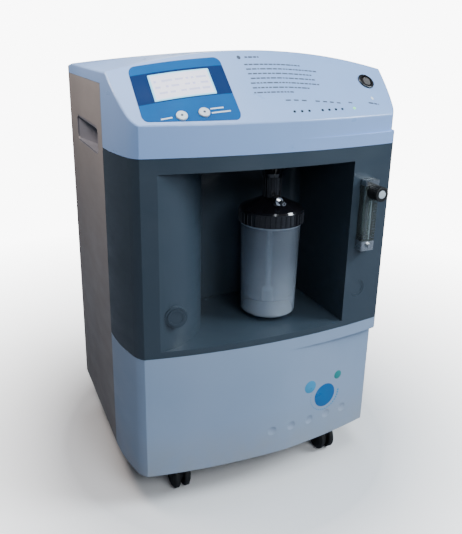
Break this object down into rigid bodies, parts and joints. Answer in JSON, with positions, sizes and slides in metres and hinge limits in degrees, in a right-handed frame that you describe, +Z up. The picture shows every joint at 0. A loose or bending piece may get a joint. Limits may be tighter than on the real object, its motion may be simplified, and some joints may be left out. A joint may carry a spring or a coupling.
{
  "type": "oxygen concentrator",
  "caption": "Upright medical oxygen concentrator on casters: arched cover with sloped control panel, niche with humidifier bottle, flowmeter, and working parts inside.",
  "frame": {"origin": "on the floor under the centre of the object's box", "axes": "-Y is the front with the niche and flowmeter, +X the viewer's right, +Z up"},
  "size_m": [0.38, 0.358, 0.5855],
  "materials": {
    "cover_white": "satin",
    "cover_slate": "satin",
    "label_blue": "satin film",
    "display_clear": "gloss",
    "screen": "matte",
    "led_lens": "gloss",
    "button_silver": "satin",
    "switch_black": "gloss",
    "filter_foam": "porous",
    "grille_grey": "matte",
    "inlet_black": "matte",
    "breaker_white": "gloss",
    "screw_steel": "brushed",
    "clear_tube": "gloss",
    "flow_chrome": "polished",
    "knob_black": "satin",
    "float_steel": "polished",
    "humidifier_black": "gloss",
    "jar_clear": "frosted gloss",
    "diffuser_white": "satin",
    "outlet_chrome": "polished",
    "chassis_steel": "satin",
    "caster_plastic": "matte",
    "caster_wheel": "matte",
    "cast_aluminium": "cast",
    "shaft_steel": "ground",
    "mount_rubber": "matte",
    "fan_black": "matte",
    "copper_pipe": "drawn",
    "bed_aluminium": "anodised",
    "tank_paint": "gloss",
    "hose_clear": "soft",
    "board_green": "solder mask"
  },
  "bodies": {
    "housing": {"top_cover": "cover_white", "control_label": "label_blue", "display_window": "display_clear", "display_module": "screen", "indicator_leds": "led_lens", "power_switch_bezel": "switch_black", "middle_front_cover": "cover_slate", "screw_plugs": "cover_slate", "lower_front_cover": "cover_white", "left_side_panel": "cover_white", "right_side_panel": "cover_white", "left_handle_cup": "cover_slate", "right_handle_cup": "cover_slate", "rear_panel": "cover_white", "intake_foam": "filter_foam", "intake_grille": "grille_grey", "power_inlet": "inlet_black", "breaker_body": "inlet_black", "casing_screws": "screw_steel", "flowmeter_tube": "clear_tube", "flowmeter_end_blocks": "flow_chrome", "humidifier_socket": "humidifier_black", "humidifier_lid": "humidifier_black", "oxygen_outlet": "outlet_chrome", "diffuser_tube": "diffuser_white", "base_chassis": "chassis_steel", "inner_shelf": "chassis_steel", "compressor_housing": "cast_aluminium", "compressor_cylinders": "cast_aluminium", "compressor_mounts": "mount_rubber", "fan_frame": "fan_black", "heat_exchanger": "copper_pipe", "left_sieve_bed": "bed_aluminium", "right_sieve_bed": "bed_aluminium", "product_tank": "tank_paint", "valve_manifold": "cast_aluminium", "supply_hose": "hose_clear", "oxygen_hose": "hose_clear", "intake_muffler": "fan_black", "control_board": "board_green"},
    "left_button": {"left_button": "button_silver"},
    "right_button": {"right_button": "button_silver"},
    "rocker": {"power_rocker": "switch_black"},
    "flow_knob": {"flow_knob": "knob_black"},
    "flow_float": {"flow_float": "float_steel"},
    "humidifier_nut": {"humidifier_nut": "humidifier_black"},
    "humidifier_jar": {"humidifier_jar": "jar_clear"},
    "breaker_button": {"breaker_button": "breaker_white"},
    "crank": {"crank_shaft": "shaft_steel"},
    "left_piston": {"left_piston": "cast_aluminium"},
    "right_piston": {"right_piston": "cast_aluminium"},
    "fan_rotor": {"fan_impeller": "fan_black"},
    "front_left_fork": {"front_left_caster_fork": "caster_plastic"},
    "front_left_wheels": {"front_left_caster_wheels": "caster_wheel"},
    "rear_left_fork": {"rear_left_caster_fork": "caster_plastic"},
    "rear_left_wheels": {"rear_left_caster_wheels": "caster_wheel"},
    "front_right_fork": {"front_right_caster_fork": "caster_plastic"},
    "front_right_wheels": {"front_right_caster_wheels": "caster_wheel"},
    "rear_right_fork": {"rear_right_caster_fork": "caster_plastic"},
    "rear_right_wheels": {"rear_right_caster_wheels": "caster_wheel"}
  },
  "joints": [
    {"name": "left_button_press", "type": "slide", "parent": "housing", "child": "left_button", "axis": [0.0864, 0.6522, -0.7531], "range_m": [0, 0.001], "stiffness_N_per_m": 400},
    {"name": "right_button_press", "type": "slide", "parent": "housing", "child": "right_button", "axis": [0.0671, 0.6532, -0.7542], "range_m": [0, 0.001], "stiffness_N_per_m": 400},
    {"name": "power_rocker_tip", "type": "hinge", "parent": "housing", "child": "rocker", "pos_m": [0.15061, -0.09305, 0.545], "axis": [0.9854, 0, -0.1703], "range_deg": [-18, 0]},
    {"name": "flow_knob_turn", "type": "hinge", "parent": "housing", "child": "flow_knob", "pos_m": [0.13, -0.16, 0.417], "axis": [0, -1, 0], "range_deg": [0, 900]},
    {"name": "flow_float_rise", "type": "slide", "parent": "housing", "child": "flow_float", "axis": [0, 0, 1], "range_m": [0, 0.045]},
    {"name": "humidifier_nut_turn", "type": "hinge", "parent": "housing", "child": "humidifier_nut", "pos_m": [0.027, -0.081, 0.414], "axis": [0, 0, 1], "range_deg": [0, 1080]},
    {"name": "humidifier_jar_unscrew", "type": "hinge", "parent": "housing", "child": "humidifier_jar", "pos_m": [0.027, -0.081, 0.375], "axis": [0, 0, 1], "range_deg": [0, 360]},
    {"name": "breaker_button_press", "type": "slide", "parent": "housing", "child": "breaker_button", "axis": [0, -1, 0], "range_m": [0, 0.002], "stiffness_N_per_m": 400},
    {"name": "crank_spin", "type": "hinge", "parent": "housing", "child": "crank", "pos_m": [0, 0.02, 0.118], "axis": [1, 0, 0], "continuous": true},
    {"name": "left_piston_stroke", "type": "slide", "parent": "housing", "child": "left_piston", "axis": [0, 0, 1], "range_m": [-0.005, 0.005]},
    {"name": "right_piston_stroke", "type": "slide", "parent": "housing", "child": "right_piston", "axis": [0, 0, 1], "range_m": [-0.005, 0.005]},
    {"name": "fan_spin", "type": "hinge", "parent": "housing", "child": "fan_rotor", "pos_m": [0.134, 0.02, 0.07], "axis": [0, 0, 1], "continuous": true},
    {"name": "front_left_swivel", "type": "hinge", "parent": "housing", "child": "front_left_fork", "pos_m": [-0.116, -0.118, 0.05], "axis": [0, 0, 1], "continuous": true},
    {"name": "front_left_roll", "type": "hinge", "parent": "front_left_fork", "child": "front_left_wheels", "pos_m": [-0.116, -0.106, 0.021], "axis": [1, 0, 0], "continuous": true},
    {"name": "rear_left_swivel", "type": "hinge", "parent": "housing", "child": "rear_left_fork", "pos_m": [-0.116, 0.132, 0.05], "axis": [0, 0, 1], "continuous": true},
    {"name": "rear_left_roll", "type": "hinge", "parent": "rear_left_fork", "child": "rear_left_wheels", "pos_m": [-0.116, 0.144, 0.021], "axis": [1, 0, 0], "continuous": true},
    {"name": "front_right_swivel", "type": "hinge", "parent": "housing", "child": "front_right_fork", "pos_m": [0.116, -0.118, 0.05], "axis": [0, 0, 1], "continuous": true},
    {"name": "front_right_roll", "type": "hinge", "parent": "front_right_fork", "child": "front_right_wheels", "pos_m": [0.116, -0.106, 0.021], "axis": [1, 0, 0], "continuous": true},
    {"name": "rear_right_swivel", "type": "hinge", "parent": "housing", "child": "rear_right_fork", "pos_m": [0.116, 0.132, 0.05], "axis": [0, 0, 1], "continuous": true},
    {"name": "rear_right_roll", "type": "hinge", "parent": "rear_right_fork", "child": "rear_right_wheels", "pos_m": [0.116, 0.144, 0.021], "axis": [1, 0, 0], "continuous": true}
  ],
  "couplings": [
    {"joint": "right_piston_stroke", "follows": "left_piston_stroke", "ratio": -1}
  ]
}
